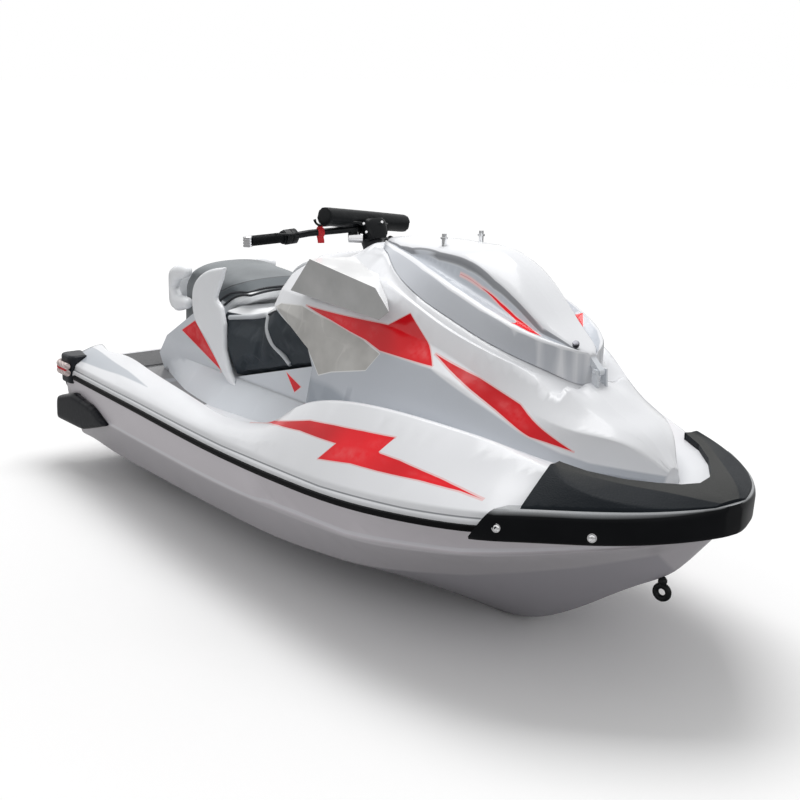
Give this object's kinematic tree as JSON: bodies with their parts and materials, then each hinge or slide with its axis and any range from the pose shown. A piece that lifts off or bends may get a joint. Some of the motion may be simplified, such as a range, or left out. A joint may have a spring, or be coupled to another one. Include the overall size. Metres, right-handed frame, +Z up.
{
  "type": "personal watercraft",
  "caption": "Sit-on water-jet personal watercraft with stepped two-part seat, hinged front storage lid, handlebar steering, steered jet nozzle and reverse bucket.",
  "frame": {"origin": "middle of the craft's outline on the ground it stands on, under the centreline", "axes": "+X to the bow, +Y to port, +Z up"},
  "size_m": [3.065, 1.1598, 1.1749],
  "materials": {
    "hull_gelcoat": "pearl gelcoat",
    "deck_gelcoat": "pearl gelcoat",
    "engine_metal": "plain",
    "black_rubber": "moulded rubber",
    "fender_rope": "pale fender beads",
    "black_plastic": "grained plastic",
    "cast_alloy": "cast alloy",
    "stainless": "polished stainless",
    "black_metal": "satin black",
    "pod_gloss": "gloss pearl",
    "seat_vinyl": "marine vinyl",
    "deck_mat": "textured mat"
  },
  "bodies": {
    "craft": {"hull": "hull_gelcoat", "deck": "deck_gelcoat", "hood": "deck_gelcoat", "seat_pedestal": "deck_gelcoat", "nose_pad": "black_rubber", "engine_block": "engine_metal", "rub_rails": "black_rubber", "bow_bumper": "black_rubber", "stern_fender": "fender_rope", "stern_guards": "black_rubber", "tow_eyes": "black_plastic", "sponsons": "black_plastic", "bow_eye": "black_plastic", "ride_plate": "cast_alloy", "intake_grate": "cast_alloy", "pump_housing": "cast_alloy", "lid_hinge": "black_plastic", "steering_base": "black_plastic", "console_pods": "pod_gloss", "rider_seat": "seat_vinyl", "passenger_seat": "seat_vinyl", "side_fairings": "deck_gelcoat", "grab_handle": "deck_gelcoat", "stern_mat": "deck_mat"},
    "lid": {"front_lid": "deck_gelcoat", "lid_hinge_arm": "black_plastic", "lid_posts": "stainless"},
    "steering": {"steering_column": "black_plastic", "handlebar": "black_metal", "handlebar_pad": "black_rubber", "grips": "black_rubber", "bar_ends": "stainless", "switch_housings": "black_plastic", "throttle_lever": "black_plastic"},
    "impeller": {"impeller": "stainless", "drive_shaft": "stainless"},
    "nozzle": {"nozzle": "cast_alloy", "nozzle_pins": "stainless"},
    "bucket": {"reverse_bucket": "cast_alloy"}
  },
  "joints": [
    {"name": "lid_hinge", "type": "hinge", "parent": "craft", "child": "lid", "pos_m": [1.0455, 0, 0.812], "axis": [0, 1, 0], "range_deg": [0, 55]},
    {"name": "steering", "type": "hinge", "parent": "craft", "child": "steering", "pos_m": [-0.0475, 0, 1.11], "axis": [-0.5, 0, 0.866], "range_deg": [-41, 9]},
    {"name": "impeller_spin", "type": "hinge", "parent": "craft", "child": "impeller", "pos_m": [-1.0325, 0, 0.165], "axis": [1, 0, 0], "continuous": true},
    {"name": "nozzle_steer", "type": "hinge", "parent": "craft", "child": "nozzle", "pos_m": [-1.2215, 0, 0.165], "axis": [0, 0, 1], "range_deg": [-6.5, 29]},
    {"name": "reverse_gate", "type": "hinge", "parent": "craft", "child": "bucket", "pos_m": [-1.1775, 0, 0.165], "axis": [0, -1, 0], "range_deg": [0, 54]}
  ],
  "couplings": [
    {"joint": "nozzle_steer", "follows": "steering", "ratio": -0.7}
  ]
}
